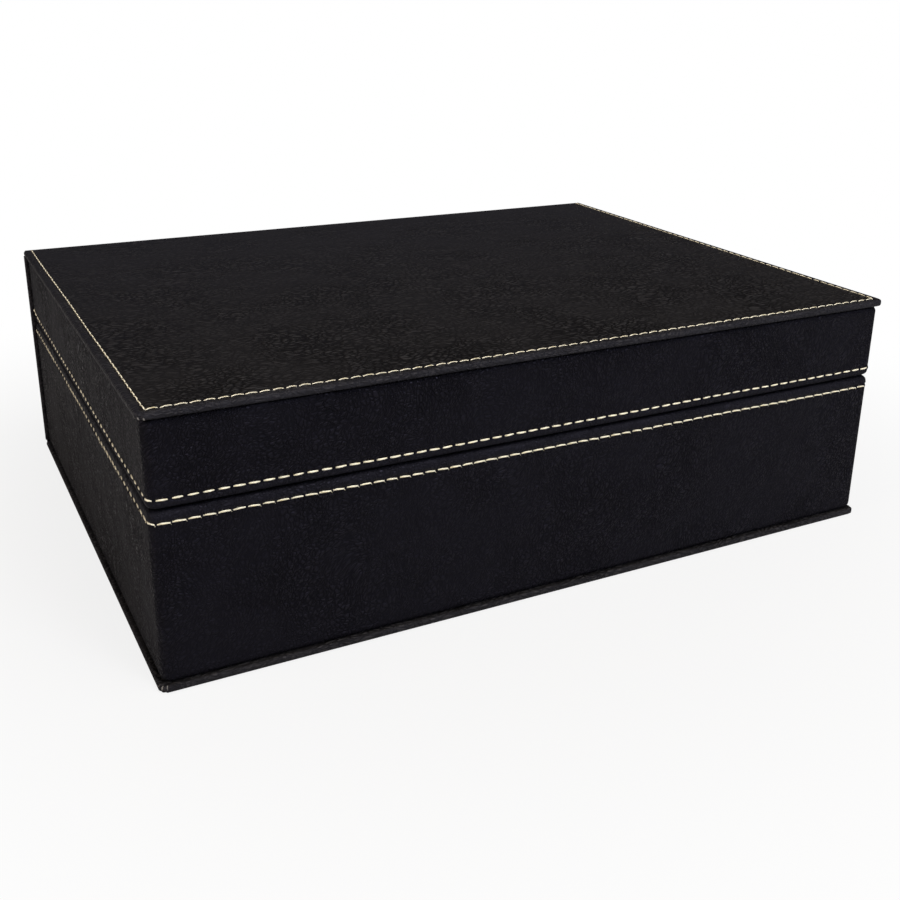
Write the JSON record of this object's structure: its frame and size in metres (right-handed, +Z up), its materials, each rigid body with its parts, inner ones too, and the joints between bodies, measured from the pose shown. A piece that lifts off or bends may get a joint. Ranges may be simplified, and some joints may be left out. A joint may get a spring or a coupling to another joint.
{
  "type": "leatherette gift box",
  "caption": "Book-style gift box covered in black leatherette with pale saddle stitching, two padded satin-lined trays and a spine that folds at its creases.",
  "frame": {"origin": "under the middle of the box, on the surface it stands on", "axes": "+X to the right along the front, +Y from the front to the spine, +Z up; the front faces -Y"},
  "size_m": [0.298, 0.229, 0.0954],
  "materials": {
    "leatherette": "embossed grain, low sheen",
    "satin": "satin weave",
    "lining_paper": "matt coated paper",
    "foam": "open-cell foam",
    "fibreboard": "raw",
    "greyboard": "raw",
    "magnet": "nickel plated"
  },
  "bodies": {
    "base": {"bottom_cover": "leatherette", "bottom_board": "greyboard", "base_wrap": "leatherette", "base_floor": "greyboard", "base_pad_foam": "foam", "base_pad_satin": "satin", "base_magnets": "magnet", "base_front_wall": "fibreboard", "base_rear_wall": "fibreboard", "base_left_wall": "fibreboard", "base_right_wall": "fibreboard", "base_front_lining": "satin", "base_rear_lining": "satin", "base_left_lining": "satin", "base_right_lining": "satin"},
    "spine": {"spine_cover": "leatherette", "spine_board": "greyboard", "spine_lining": "lining_paper", "lower_crease": "leatherette", "upper_crease": "leatherette"},
    "lid": {"top_cover": "leatherette", "top_board": "greyboard", "lid_wrap": "leatherette", "lid_ceiling": "greyboard", "lid_pad_foam": "foam", "lid_pad_satin": "satin", "lid_magnets": "magnet", "lid_front_wall": "fibreboard", "lid_rear_wall": "fibreboard", "lid_left_wall": "fibreboard", "lid_right_wall": "fibreboard", "lid_front_lining": "satin", "lid_rear_lining": "satin", "lid_left_lining": "satin", "lid_right_lining": "satin"}
  },
  "joints": [
    {"name": "spine_fold", "type": "hinge", "parent": "base", "child": "spine", "pos_m": [0, 0.1145, 0], "axis": [-1, 0, 0], "range_deg": [0, 90]},
    {"name": "lid_fold", "type": "hinge", "parent": "spine", "child": "lid", "pos_m": [0, 0.1145, 0.0954], "axis": [-1, 0, 0], "range_deg": [0, 90]}
  ]
}
